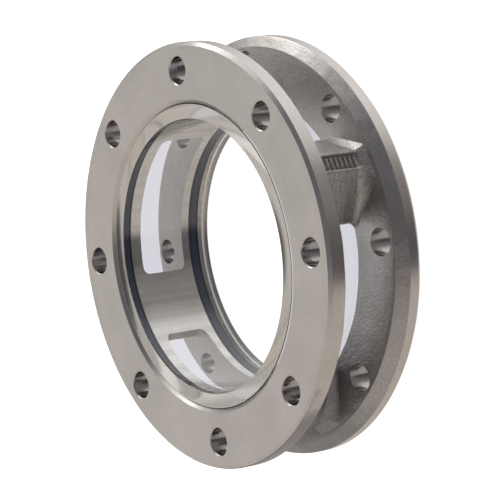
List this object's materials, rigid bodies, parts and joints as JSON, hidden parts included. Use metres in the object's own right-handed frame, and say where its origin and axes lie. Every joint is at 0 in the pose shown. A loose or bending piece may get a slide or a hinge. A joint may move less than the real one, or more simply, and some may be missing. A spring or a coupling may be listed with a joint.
{
  "type": "flow sight glass",
  "caption": "Flanged flow sight glass: a cast ring body with open windows around a glass tube, bolted between pipe flanges so that the flow can be seen.",
  "frame": {"origin": "centre of the bore at the lower flange's sealing face", "axes": "+Z along the bore, from the lower flange to the upper one; the posts stand between the X and Y axes, so the windows open along +X, +Y, -X and -Y, and the post with the marking panel lies between +X and -Y"},
  "size_m": [0.1714, 0.1714, 0.0444],
  "materials": {
    "cast_steel": "turned faces, sand-cast between the flanges",
    "clear_glass": "clear, ground edges",
    "seal_rubber": "matte"
  },
  "bodies": {
    "root": {"cast_body": "cast_steel", "glass_tube": "clear_glass", "lower_seal_ring": "seal_rubber", "upper_seal_ring": "seal_rubber"}
  },
  "joints": []
}
